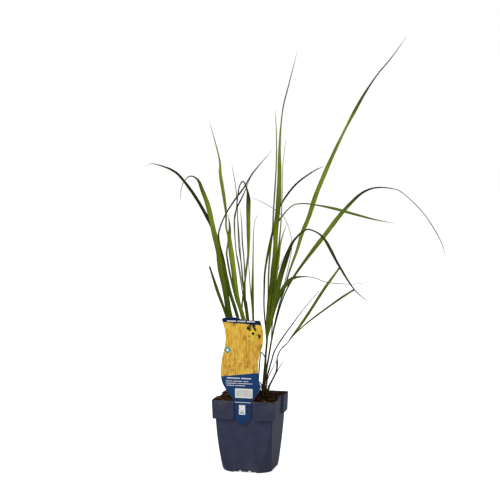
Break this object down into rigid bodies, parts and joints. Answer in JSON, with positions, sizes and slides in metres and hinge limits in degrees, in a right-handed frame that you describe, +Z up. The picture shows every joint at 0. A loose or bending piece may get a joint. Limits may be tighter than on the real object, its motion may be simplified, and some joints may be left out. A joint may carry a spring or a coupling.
{
  "type": "potted tall moor grass",
  "caption": "Tall ornamental grass with long arching blades, growing in the soil of a square plastic nursery pot that has a wavy plant label hung on its front.",
  "frame": {"origin": "centre of the pot's base, on the surface that it stands on", "axes": "+Z up; the pot's labelled face looks along -Y; +X runs to the right of someone who looks at the label; the pot's sides lie along X and Y"},
  "size_m": [0.5145, 0.2599, 0.7603],
  "materials": {
    "pot_plastic": "matte",
    "soil": "matte",
    "label_card": "satin",
    "leaf": "satin",
    "stalk": "matte"
  },
  "bodies": {
    "root": {"pot": "pot_plastic", "soil": "soil", "label": "label_card", "tiller_01": "leaf", "tiller_02": "leaf", "tiller_03": "leaf", "tiller_04": "leaf", "tiller_05": "leaf", "tiller_06": "leaf", "tiller_07": "leaf", "tiller_08": "leaf", "tiller_09": "leaf", "tiller_10": "leaf", "tiller_11": "leaf", "tiller_12": "leaf", "tiller_13": "leaf", "tiller_14": "leaf", "stalk_01": "stalk", "stalk_02": "stalk", "stalk_03": "stalk", "stalk_04": "stalk"}
  },
  "joints": []
}
